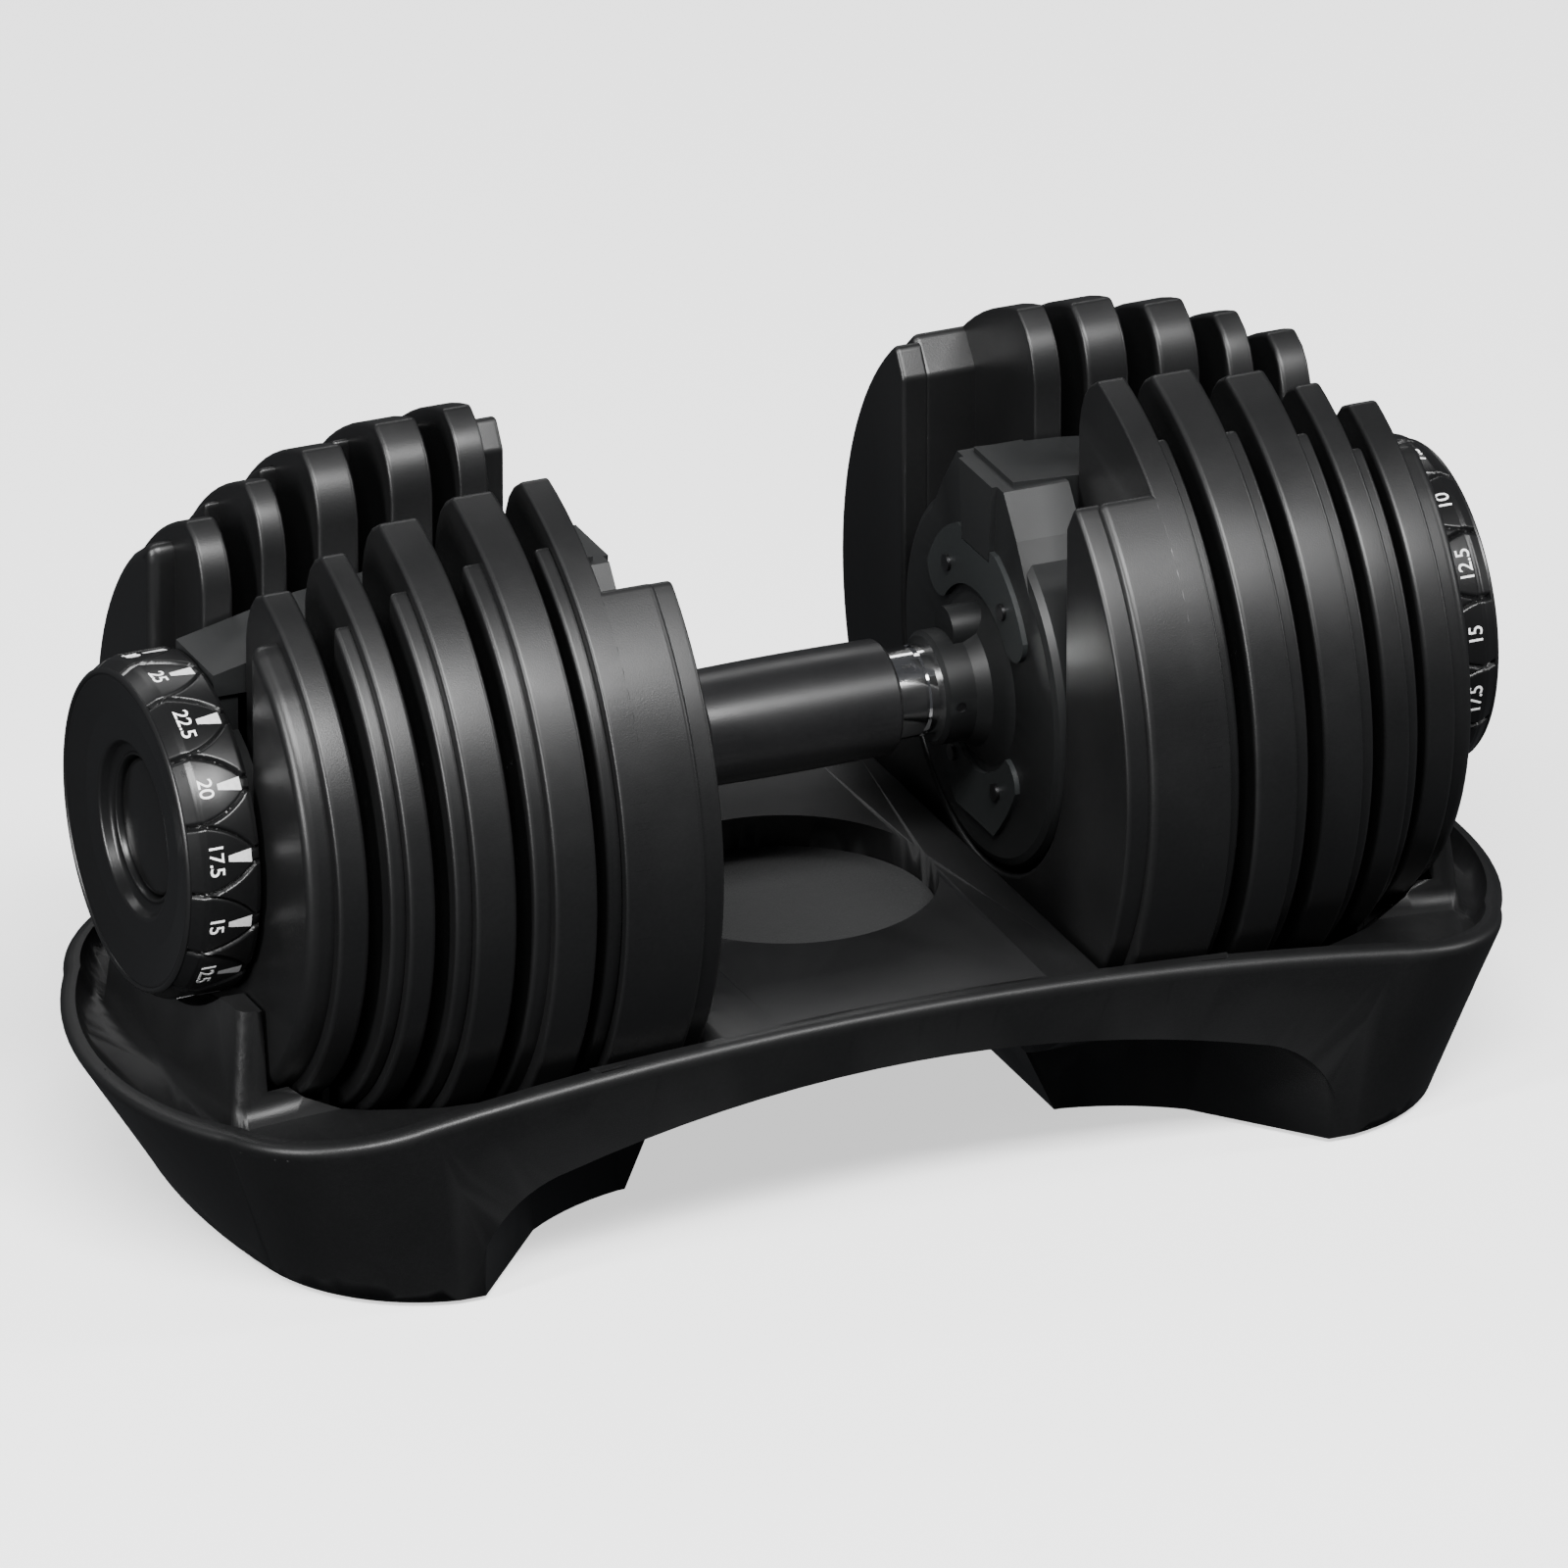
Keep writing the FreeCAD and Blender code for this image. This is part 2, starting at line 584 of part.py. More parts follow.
def under_space():
    """The open space below the tray between its two tubs."""
    arch = prism("xz", -130.0, 130.0, (-132.0, FLOOR - 5.0), (-132.0, FLOOR),
                 (-129.5, -103.0), ((-121.0, -91.0), (-105.0, -82.8)),
                 ((0.0, -67.8), (105.0, -82.8)), ((121.0, -91.0), (129.5, -103.0)),
                 (132.0, FLOOR), (132.0, FLOOR - 5.0))
    under_deck = tray_hull(-5.0, DECK_HEIGHT - SHELL_WALL, SHELL_WALL)
    under_deck = under_deck.common(block(-132, 132, -130, 130, FLOOR - 5, 0))
    under_deck = under_deck.cut(post(RECESS_RADIUS + 3.0, DECK_HEIGHT + FLOOR - RECESS_DEPTH - 3.0, 0.0))
    corner = (57.0, 39.0)
    quarter = prism("xy", FLOOR - 5.0, -40.0, (0.0, 0.0), (corner[0], 0.0), corner, (68.0, 39.5),
                    ((86.0, 45.5), (100.0, 54.0)), (132.0, 92.0), (132.0, 130.0), (0.0, 130.0))
    half = both_halves(quarter)
    plan = half.fuse(mirrored(half)).removeSplitter()
    space = arch.fuse(under_deck).common(plan)
    for x0, x1 in ((-178.0, -corner[0]), (corner[0], 178.0)):
        space = space.cut(rod(PLATES[0][0] + WELL_GAP + SHELL_WALL, x0, x1))
    for x0, x1 in ((-178.0, -GUTTER_X + 2.0), (GUTTER_X - 2.0, 178.0)):
        space = space.cut(block(x0, x1, -130, 130, GUTTER_HEIGHT + FLOOR - 2.0, 0))
    slope = prism("xz", -39.6, 39.6, (56.0, FLOOR - 1.0), (67.0, FLOOR - 1.0), (56.0, FLOOR + 23.3))
    return space.fuse(slope).fuse(mirrored(slope))


def cradle():
    """Solid block under the dial and the outer plates, its front walls flaring inward."""
    foot = outline("xy", GUTTER_HEIGHT + FLOOR - 3.0, (132.0, -63.8), (184.0, -51.0),
                   ((187.2, -49.7), (188.5, -46.4)), ((191.0, 0.0), (188.5, 46.4)),
                   ((187.2, 49.7), (184.0, 51.0)), (132.0, 63.8))
    head = outline("xy", BLOCK_TOP + FLOOR, (132.0, -58.8), (180.0, -46.0),
                   ((183.2, -44.7), (184.5, -41.4)), ((186.0, 0.0), (184.5, 41.4)),
                   ((183.2, 44.7), (180.0, 46.0)), (132.0, 58.8))
    return Part.makeLoft([foot, head], True, True)


def plate_well():
    """The hollow that all five plates of a side sit in, a little larger than their rims."""
    profile = [(DECK_WALL, 0.0), (DECK_WALL, PLATES[0][0] + WELL_GAP)]
    for radius, inner, band_end, outer, pounds in PLATES[:LAST]:
        profile.append((band_end + 0.8, radius + WELL_GAP))
    radius, inner, band_end, outer, pounds = PLATES[LAST]
    profile += [(band_end - 1.2, radius + WELL_GAP), (band_end + 3.0, radius - STRIP_DROP + WELL_GAP),
                (outer + 1.2, radius - STRIP_DROP + WELL_GAP), (outer + 1.2, 0.0)]
    return turned(profile)


def end_pocket():
    """Everything that is open above one tub: gutter, wells, dial bed."""
    basin = tray_hull(GUTTER_HEIGHT - 5.0, 110.0, RIM_WIDTH)
    basin = basin.common(block(GUTTER_X, 230.0, -130, 130, FLOOR, 60.0))
    basin = basin.cut(crest(GUTTER_DEPTH)).cut(cradle())
    openings = [basin, rod(DIAL_BED_RADIUS, PLATES[LAST][3] + 1.2, 215.0), plate_well()]
    deep = rod(RACK_RADIUS + 0.1, RACK_X, PLATES[LAST][3] + 1.2)
    openings.append(deep.common(block(0, 300, -RACK_HALF - 0.1, RACK_HALF + 0.1, RACK_FLAT, RACK_TOP)))
    above = block(PLATES[LAST][3] + 1.2, 230.0, -130, 130, BLOCK_TOP + FLOOR, 60.0)
    openings.append(above.common(tray_hull(GUTTER_HEIGHT, 110.0, RIM_WIDTH)))
    return openings


def tray_shell():
    shell = tray_hull(FOOT_HEIGHT, RIM_HEIGHT + 8.0)
    blocks = cradle().common(block(150.0, 230.0, -66, 66, FLOOR, 60.0))
    shell = shell.common(crest())
    shell = shell.fuse(blocks).fuse(mirrored(blocks))
    deck = tray_hull(DECK_HEIGHT, 90.0, RIM_WIDTH).common(
        block(-DECK_WALL, DECK_WALL, -130, 130, FLOOR + DECK_HEIGHT, 0))
    shell = shell.cut(deck)
    for opening in end_pocket():
        shell = shell.cut(opening).cut(mirrored(opening))
    drop = DECK_WALL - DECK_HALF
    deck_level = DECK_HEIGHT + FLOOR
    edge = prism("xz", -89.0, 89.0, (DECK_HALF, deck_level + 0.01), (DECK_WALL + 1, deck_level + 0.01),
                 (DECK_WALL + 1, deck_level - drop - 1))
    shell = shell.cut(edge).cut(mirrored(edge))
    shell = shell.cut(under_space())
    shell = shell.cut(post(RECESS_RADIUS, deck_level - RECESS_DEPTH, deck_level + 5.0))
    for x, y in rack_screw_places():
        shell = shell.cut(post(2.0, FLOOR, RACK_FLAT, x, y)).cut(post(2.0, FLOOR, RACK_FLAT, -x, y))
        shell = shell.cut(post(4.2, FLOOR, FLOOR + 6.0, x, y))
        shell = shell.cut(post(4.2, FLOOR, FLOOR + 6.0, -x, y))
    return shell.Solids[0]


def rack_screw_places():
    return [(131.0, -8.0), (131.0, 8.0), (150.0, -8.0), (150.0, 8.0)]


def rack_screws():
    screws = []
    for x, y in rack_screw_places():
        shank = post(2.0, FLOOR + 6.0, RACK_FLAT + 5.0, x, y)
        screw = post(3.8, FLOOR + 3.0, FLOOR + 6.0, x, y).fuse(shank)
        screws += [screw, mirrored(screw)]
    return Part.makeCompound(screws)


def plate_rack():
    """Cradle under the outer four plates, with a fin in each gap between plates."""
    spans = []
    for index in range(1, 5):
        radius, inner, band_end, outer, pounds = PLATES[index]
        spans.append((inner - 1.0, outer + 1.0, radius + 1.0))
        previous = PLATES[index - 1][3]
        middle = (previous + inner) / 2.0
        spans.append((middle - 1.0, middle + 1.0, radius - 12.0))
    pieces = []
    for x0, x1, bore in spans:
        x0 = max(x0, RACK_X + 0.1)
        pieces.append(rod(RACK_RADIUS, x0, x1).cut(rod(bore, x0 - 1, x1 + 1)))
    for index in range(1, 4):
        x0 = PLATES[index][3] + 0.9
        x1 = PLATES[index + 1][1] - 0.9
        pieces.append(rod(RACK_RADIUS, x0, x1).cut(rod(PLATES[index][0] + 1.0, x0 - 1, x1 + 1)))
    rack = joined(pieces)
    rack = rack.common(block(RACK_X, 180, -RACK_HALF, RACK_HALF, RACK_FLAT, RACK_TOP))
    return rack.removeSplitter()


def unlock_posts():
    bar = block(PIN_X + 0.2, PIN_END - 0.1, -3.6, 3.6, RACK_FLAT, PIN_BOTTOM - 0.1)
    return Part.makeCompound([mirrored(bar), bar])


def deck_inlay():
    floor = DECK_HEIGHT + FLOOR - RECESS_DEPTH
    return post(RECESS_RADIUS - 0.4, floor, floor + INLAY_THICKNESS)


def rubber_feet():
    feet = []
    for x, y in ((170.0, 40.0), (140.0, 76.0), (78.0, 18.0)):
        for sx in (-1, 1):
            for sy in (-1, 1):
                feet.append(post(6.0, FLOOR, FLOOR + FOOT_HEIGHT, sx * x, sy * y))
    return Part.makeCompound(feet)


# ---------------------------------------------------------------- writing

def write(name, shape):
    raised = shape.copy()
    raised.translate(Vector(0, 0, AXIS_HEIGHT))
    raised.exportStep("parts/" + name + ".step")
    box = raised.BoundBox
    print(name, raised.isValid(), len(raised.Solids), round(raised.Volume / 1000.0, 2), "cm3",
          [round(value, 1) for value in (box.XMin, box.XMax, box.YMin, box.YMax, box.ZMin, box.ZMax)])


def write_sides(name, shape):
    for side in ("left", "right"):
        write(side + "_" + name, on_side(shape, side))


def main():
    os.makedirs("parts", exist_ok=True)
    write("tray_shell", tray_shell())
    bars = unlock_posts()
    write_sides("plate_rack", plate_rack().cut(bars).cut(rack_screws()))
    write("unlock_posts", bars)
    write("deck_inlay", deck_inlay())
    write("rubber_feet", rubber_feet())
    write("rack_screws", rack_screws())
    write("handle_tube", handle_tube())
    write("grip_sleeve", grip_sleeve())
    write("tie_rod", tie_rod())
    write("tie_rod_nuts", tie_rod_nuts())
    write("collar_screws", collar_screws())
    write("cover_screws", cover_screws())
    write("shaft_bushes", shaft_bushes())
    write_sides("hub_collar", hub_collar())
    write_sides("inner_housing", inner_housing())
    write_sides("bridge", bridge())
    write_sides("end_housing", end_housing())
    write_sides("upper_cover", cover(1))
    write_sides("lower_cover", cover(-1))
    write_sides("lock_pin", lock_pin())
    write_sides("lock_spring", lock_spring())
    write_sides("dial_knob", dial_knob())
    write_sides("dial_cap", dial_cap())
    write_sides("dial_shaft", dial_shaft())
    for side in ("left", "right"):
        write(side + "_index_ring", on_side(index_ring(side), side))
        write(side + "_selector_discs", on_side(selector_discs(side), side))
    for index in range(len(PLATES)):
        write_sides("plate_%d_jacket" % (index + 1), plate_jacket(index))
        write_sides("plate_%d_core" % (index + 1), plate_core(index))


main()
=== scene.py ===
import bpy
import bmesh
import json
import math
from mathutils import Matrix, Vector
from mathutils.geometry import tessellate_polygon


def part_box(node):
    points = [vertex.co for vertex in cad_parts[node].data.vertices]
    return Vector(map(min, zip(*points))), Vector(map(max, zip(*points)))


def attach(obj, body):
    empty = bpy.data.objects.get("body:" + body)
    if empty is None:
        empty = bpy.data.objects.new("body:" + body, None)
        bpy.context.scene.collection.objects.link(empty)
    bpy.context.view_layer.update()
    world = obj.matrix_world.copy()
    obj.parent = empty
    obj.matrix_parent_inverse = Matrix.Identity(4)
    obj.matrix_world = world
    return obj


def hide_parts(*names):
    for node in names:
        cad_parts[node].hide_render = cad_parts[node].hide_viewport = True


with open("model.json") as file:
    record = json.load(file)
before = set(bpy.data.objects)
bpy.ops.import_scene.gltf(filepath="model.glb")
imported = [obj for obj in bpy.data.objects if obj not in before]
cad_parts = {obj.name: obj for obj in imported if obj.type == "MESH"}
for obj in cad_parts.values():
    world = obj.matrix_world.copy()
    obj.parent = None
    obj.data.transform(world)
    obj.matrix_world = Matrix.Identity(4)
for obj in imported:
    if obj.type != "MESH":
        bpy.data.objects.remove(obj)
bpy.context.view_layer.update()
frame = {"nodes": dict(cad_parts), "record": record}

NODES = frame["nodes"]
TIE_ROD_RADIUS = 0.005
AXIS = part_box("tie_rod")[0].z + TIE_ROD_RADIUS
SIDES = (("left", -1), ("right", 1))


# ---------------------------------------------------------------- camera

CAMERA_AZIMUTH = math.radians(-23.57)
CAMERA_ELEVATION = math.radians(24.30)
CAMERA_TARGET = Vector((-0.0033, -0.0075, 0.1015))
CAMERA_DISTANCE = 7.877
LENS = 644.9
SENSOR = 36.0


def add_camera():
    azimuth, elevation = CAMERA_AZIMUTH, CAMERA_ELEVATION
    back = Vector((math.sin(azimuth) * math.cos(elevation),
                   -math.cos(azimuth) * math.cos(elevation), math.sin(elevation)))
    data = bpy.data.cameras.new("camera")
    data.sensor_width = SENSOR
    data.lens = LENS
    data.clip_start, data.clip_end = 0.5, 60.0
    camera = bpy.data.objects.new("camera", data)
    bpy.context.scene.collection.objects.link(camera)
    camera.location = CAMERA_TARGET + back * CAMERA_DISTANCE
    camera.rotation_mode = "QUATERNION"
    camera.rotation_quaternion = (-back).to_track_quat("-Z", "Y")
    bpy.context.scene.camera = camera


# ---------------------------------------------------------------- light and floor

OBJECT_MIDDLE = (0.0, 0.0, 0.1)
FLOOR_HALF = 20.0


def softbox(name, spot, size, power):
    """A rectangular lamp at a spot, aimed at the middle of the object."""
    data = bpy.data.lights.new(name, "AREA")
    data.shape = "RECTANGLE"
    data.size, data.size_y = size
    data.energy = power
    lamp = bpy.data.objects.new(name, data)
    bpy.context.scene.collection.objects.link(lamp)
    lamp.location = spot
    lamp.rotation_mode = "QUATERNION"
    lamp.rotation_quaternion = (Vector(OBJECT_MIDDLE) - Vector(spot)).to_track_quat("-Z", "Y")


def add_light():
    world = bpy.data.worlds.new("studio")
    bpy.context.scene.world = world
    world.use_nodes = True
    background = world.node_tree.nodes["Background"]
    background.inputs["Color"].default_value = (0.9, 0.93, 1.0, 1.0)
    background.inputs["Strength"].default_value = 0.07
    softbox("key", (-0.3, -1.75, 2.3), (2.6, 0.6), 200.0)
    softbox("left_strip", (-2.8, -0.9, 1.1), (0.4, 1.8), 110.0)
    softbox("right_strip", (2.8, -0.7, 1.5), (0.4, 1.8), 45.0)
    softbox("rear_top", (0.0, 2.0, 2.2), (3.0, 0.6), 22.0)


def add_floor():
    """Pale paper floor, kept out of the object's reflections and bounce light."""
    mesh = bpy.data.meshes.new("floor")
    build = bmesh.new()
    bmesh.ops.create_grid(build, x_segments=8, y_segments=8, size=FLOOR_HALF)
    build.to_mesh(mesh)
    build.free()
    floor = bpy.data.objects.new("floor", mesh)
    bpy.context.scene.collection.objects.link(floor)
    floor.visible_glossy = False
    floor.visible_diffuse = False
    material = bpy.data.materials.new("floor_paper")
    material.use_nodes = True
    shader = material.node_tree.nodes["Principled BSDF"]
    shader.inputs["Base Color"].default_value = (0.93, 0.93, 0.93, 1.0)
    shader.inputs["Roughness"].default_value = 0.9
    shader.inputs["Emission Color"].default_value = (1.0, 1.0, 1.0, 1.0)
    shader.inputs["Emission Strength"].default_value = 1.0
    mesh.materials.append(material)


# ---------------------------------------------------------------- materials

def moulded(name, colour, rough, grain=0.05, scale=2600.0, gloss=0.5, metal=0.0):
    """Moulded or cast surface: fine grain, faint mottling, and a painted highlight that lightens the colour
    along sharp edges.
    """
    material = bpy.data.materials.new(name)
    material.use_nodes = True
    tree = material.node_tree
    shader = tree.nodes["Principled BSDF"]
    shader.inputs["Specular IOR Level"].default_value = gloss
    shader.inputs["Metallic"].default_value = metal
    coords = tree.nodes.new("ShaderNodeTexCoord")

    def noise(size, detail):
        node = tree.nodes.new("ShaderNodeTexNoise")
        node.inputs["Scale"].default_value = size
        node.inputs["Detail"].default_value = detail
        tree.links.new(coords.outputs["Object"], node.inputs["Vector"])
        return node.outputs["Fac"]

    def ranged(source, low, high, out_low, out_high):
        node = tree.nodes.new("ShaderNodeMapRange")
        node.inputs["From Min"].default_value = low
        node.inputs["From Max"].default_value = high
        node.inputs["To Min"].default_value = out_low
        node.inputs["To Max"].default_value = out_high
        tree.links.new(source, node.inputs["Value"])
        return node.outputs["Result"]

    mottled = noise(38.0, 4.0)
    tree.links.new(ranged(mottled, 0.3, 0.7, rough - 0.04, rough + 0.05), shader.inputs["Roughness"])
    mix = tree.nodes.new("ShaderNodeMix")
    mix.data_type = "RGBA"
    mix.inputs["A"].default_value = (*[c * 0.8 for c in colour], 1.0)
    mix.inputs["B"].default_value = (*[c * 1.25 for c in colour], 1.0)
    tree.links.new(noise(scale * 0.35, 3.0), mix.inputs["Factor"])
    # painted highlight: the base colour is lightened where Pointiness finds sharp edges, standing in for
    # light caught along the edges
    edge = tree.nodes.new("ShaderNodeMix")
    edge.data_type = "RGBA"
    edge.inputs["B"].default_value = (*[c * 2.2 + 0.006 for c in colour], 1.0)
    geometry = tree.nodes.new("ShaderNodeNewGeometry")
    tree.links.new(mix.outputs["Result"], edge.inputs["A"])
    tree.links.new(ranged(geometry.outputs["Pointiness"], 0.52, 0.6, 0.0, 0.5), edge.inputs["Factor"])
    tree.links.new(edge.outputs["Result"], shader.inputs["Base Color"])
    bump = tree.nodes.new("ShaderNodeBump")
    bump.inputs["Strength"].default_value = grain
    bump.inputs["Distance"].default_value = 0.0004
    tree.links.new(noise(scale, 2.0), bump.inputs["Height"])
    tree.links.new(bump.outputs["Normal"], shader.inputs["Normal"])
    return material


MATERIALS = {
    "tray_plastic": moulded("tray_plastic", (0.0055, 0.0056, 0.0058), 0.42, 0.10, 2400.0, 0.4),
    "post_plastic": moulded("post_plastic", (0.02, 0.02, 0.021), 0.5),
    "inlay_rubber": moulded("inlay_rubber", (0.008, 0.0083, 0.0085), 0.75, 0.7, 900.0),
    "foot_rubber": moulded("foot_rubber", (0.02, 0.02, 0.02), 0.8, 0.3),
    "screw_steel": moulded("screw_steel", (0.06, 0.06, 0.062), 0.38, 0.05, 3000.0, 0.5, 1.0),
    "chrome": moulded("chrome", (0.86, 0.86, 0.87), 0.07, 0.01, 1200.0, 0.5, 1.0),
    "grip_rubber": moulded("grip_rubber", (0.010, 0.010, 0.0105), 0.34, 0.05, 1800.0),
    "bush_plastic": moulded("bush_plastic", (0.55, 0.53, 0.47), 0.4),
    "housing_plastic": moulded("housing_plastic", (0.006, 0.0064, 0.0066), 0.45, 0.08, 2600.0, 0.4),
    "cover_plastic": moulded("cover_plastic", (0.011, 0.0125, 0.0127), 0.5, 0.10, 2600.0, 0.4),
    "dial_plastic": moulded("dial_plastic", (0.0055, 0.0056, 0.0058), 0.3, 0.05),
    "disc_nylon": moulded("disc_nylon", (0.02, 0.02, 0.02), 0.5),
    "shaft_metal": moulded("shaft_metal", (0.55, 0.55, 0.56), 0.3, 0.05, 3000.0, 0.5, 1.0),
    "plate_plastic": moulded("plate_plastic", (0.0055, 0.0056, 0.0058), 0.38, 0.08, 2400.0),
    "print_white": moulded("print_white", (0.72, 0.72, 0.72), 0.5, 0.05),
    "cap_gloss": moulded("cap_gloss", (0.006, 0.006, 0.006), 0.16, 0.02),
    "core_steel": moulded("core_steel", (0.3, 0.3, 0.31), 0.4, 0.1, 2000.0, 0.5, 1.0),
}


def paint_nodes():
    for entry in frame["record"]["subparts"]:
        node = NODES[entry["node"]]
        node.data.materials.clear()
        node.data.materials.append(MATERIALS[entry["material_slot"]])


# ---------------------------------------------------------------- mesh making, in millimetres from the axis

SHARP_ANGLE = math.radians(38.0)
MERGE_DISTANCE = 0.000002


def place(x, y, z):
    return Vector((x / 1000.0, y / 1000.0, z / 1000.0 + AXIS))


def piece(name, build, material, body, *nodes):
    """Turns a bmesh into a named piece that rides on a body and stands for CAD nodes."""
    bmesh.ops.remove_doubles(build, verts=build.verts, dist=MERGE_DISTANCE)
    bmesh.ops.recalc_face_normals(build, faces=build.faces)
    mesh = bpy.data.meshes.new(name)
    build.to_mesh(mesh)
    build.free()
    mesh.shade_smooth()
    mesh.set_sharp_from_angle(angle=SHARP_ANGLE)
    mesh.materials.append(MATERIALS[material])
    made = bpy.data.objects.new(name, mesh)
    bpy.context.scene.collection.objects.link(made)
    weighted = made.modifiers.new("weighted", "WEIGHTED_NORMAL")
    weighted.keep_sharp = True
    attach(made, body)
    if nodes:
        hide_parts(*nodes)
    return made


def rounded(corners, segments=5):
    """Closed loop from (y, z, radius) corners, each corner with a radius rounded off."""
    loop = []
    count = len(corners)
    for index, (y, z, radius) in enumerate(corners):
        here = Vector((y, z))
        if radius <= 0.0:
            loop.append(here)
            continue
        before = Vector(corners[index - 1][:2]) - here
        after = Vector(corners[(index + 1) % count][:2]) - here
        half = before.angle(after) / 2.0
        reach = radius / math.tan(half)
        reach = min(reach, before.length * 0.48, after.length * 0.48)
        start = here + before.normalized() * reach
        end = here + after.normalized() * reach
        for step in range(segments + 1):
            part = step / segments
            loop.append(start * (1 - part) ** 2 + here * 2 * part * (1 - part) + end * part ** 2)
    return loop


def inset(loop, distance):
    """The loop moved inward; the loop runs anticlockwise."""
    moved = []
    count = len(loop)
    for index in range(count):
        one = (loop[index] - loop[index - 1]).normalized()
        two = (loop[(index + 1) % count] - loop[index]).normalized()
        left = Vector((-one.y, one.x)) + Vector((-two.y, two.x))
        scale = max(left.length_squared / 2.0, 0.35)
        moved.append(loop[index] + left * distance / scale)
    return moved


def anticlockwise(loop):
    area = sum(loop[i - 1].x * loop[i].y - loop[i].x * loop[i - 1].y for i in range(len(loop)))
    return loop if area > 0.0 else loop[::-1]


def slab(build, loop, x0, x1, round0, round1, sign, steps=4):
    """Solid slice from x0 to x1 with both rims rounded."""
    loop = anticlockwise(loop)
    stations = []
    for step in range(steps + 1):
        turn = math.pi / 2.0 * step / steps
        stations.append((x0 + round0 * (1 - math.cos(turn)), round0 * (1 - math.sin(turn))))
    for step in range(steps, -1, -1):
        turn = math.pi / 2.0 * step / steps
        stations.append((x1 - round1 * (1 - math.cos(turn)), round1 * (1 - math.sin(turn))))
    rings = []
    for x, distance in stations:
        ring = inset(loop, distance) if distance > 0.0001 else loop
        rings.append([build.verts.new(place(sign * x, p.x, p.y)) for p in ring])
    count = len(loop)
    for one, two in zip(rings, rings[1:]):
        for index in range(count):
            build.faces.new((one[index - 1], one[index], two[index], two[index - 1]))
    for ring in (rings[0], rings[-1]):
        for corners in tessellate_polygon([[v.co for v in ring]]):
            build.faces.new([ring[k] for k in corners])


def lathe(build, profile, segments=144):
    """Surface of revolution about the handle's axis from (x, radius) points."""
    rings = []
    for x, radius in profile:
        if radius < 0.001:
            rings.append([build.verts.new(place(x, 0.0, 0.0))] * segments)
            continue
        ring = []
        for step in range(segments):
            angle = 2.0 * math.pi * step / segments
            ring.append(build.verts.new(place(x, radius * math.sin(angle), radius * math.cos(angle))))
        rings.append(ring)
    for one, two in zip(rings, rings[1:]):
        for step in range(segments):
            corners = [one[step - 1], one[step], two[step], two[step - 1]]
            corners = [v for i, v in enumerate(corners) if v is not corners[i - 1]]
            if len(corners) > 2:
                build.faces.new(corners)


def without(mesh, cutter):
    """The mesh with the cutter taken away."""
    body = bpy.data.objects.new("body", mesh)
    tool = bpy.data.objects.new("tool", cutter)
    for thing in (body, tool):
        bpy.context.scene.collection.objects.link(thing)
    cut = body.modifiers.new("cut", "BOOLEAN")
    cut.operation = "DIFFERENCE"
    cut.solver = "EXACT"
    cut.object = tool
    bpy.context.view_layer.update()
    ready = body.evaluated_get(bpy.context.evaluated_depsgraph_get())
    result = bpy.data.meshes.new_from_object(ready)
    for thing in (body, tool):
        bpy.data.objects.remove(thing)
    return result


# ---------------------------------------------------------------- weight plates

# each plate's radius, inner face, end of band, outer face
PLATES = ((102.0, 61.0, 91.8, 96.0), (101.0, 99.8, 112.6, 117.5), (97.0, 122.3, 134.6, 139.3),
          (90.5, 143.9, 151.8, 156.0), (82.4, 160.4, 169.6, 177.0))
SLOT = 15.0
STEP_DROP = 3.6
STEP_HALF = 46.0
LAST_STEP_HALF = 35.5
POCKET_HALF = 56.2


def rim_arc(radius, tip_y):
    """Half of the rim, from the bottom up the +Y side to the point where y is tip_y."""
    end = math.asin(tip_y / radius)
    count = 44
    arc = []
    for step in range(count + 1):
        angle = math.pi + (end - math.pi) * step / count
        arc.append((radius * math.sin(angle), radius * math.cos(angle), 0.0))
    return arc


def slot_bottom(half, count=14):
    arc = []
    for step in range(1, count):
        angle = math.pi / 2.0 * step / count
        arc.append((half * math.cos(angle), -half * math.sin(angle), 0.0))
    return arc + [(0.0, -half, 0.0)]


def both_ways(half):
    """Closed corner list from the +Y half, which runs from the rim's bottom to the slot's bottom."""
    other = [(-y, z, radius) for y, z, radius in half[-2:0:-1]]
    return half + other


def horned(radius):
    """Outline of a plate with the narrow slot and its rounded horn tips."""
    rim = rim_arc(radius, 27.6)
    tip = rim.pop()
    half = rim + [(tip[0], tip[1], 2.6), (22.0, radius - 7.6, 0.0), (18.6, radius - 11.6, 0.0),
                  (16.4, radius - 16.4, 0.0), (SLOT, radius - 22.5, 0.0), (SLOT, 30.0, 0.0),
                  (SLOT, 0.0, 0.0)]
    return rounded(both_ways(half + slot_bottom(SLOT)))


def recessed(radius, half_width, corner=1.6, dropped=0):
    """Outline of a plate's outer step; a large corner takes the last rim points away."""
    rim = rim_arc(radius, half_width)
    top = rim.pop()
    half = rim[:len(rim) - dropped] + [(half_width, top[1], corner), (half_width, 20.0, 0.0),
                                       (half_width, 0.0, 0.0)]
    return rounded(both_ways(half + slot_bottom(half_width)))


def pocketed(radius, tip_y, tip_z):
    """Outline of the first plate's inner side, open round the inner housing."""
    rim = rim_arc(radius, tip_y)
    rim.pop()
    half = rim + [(tip_y, tip_z, 2.4), (POCKET_HALF, 69.0, 3.5), (POCKET_HALF, 20.0, 0.0),
                  (POCKET_HALF, 0.0, 0.0)]
    return rounded(both_ways(half + slot_bottom(POCKET_HALF)))


# groove for the lock pin: nearest and furthest corner from the middle of the handle
GROOVE_LOW = (171.0, -6.0, -84.0)
GROOVE_HIGH = (179.0, 6.0, -32.5)


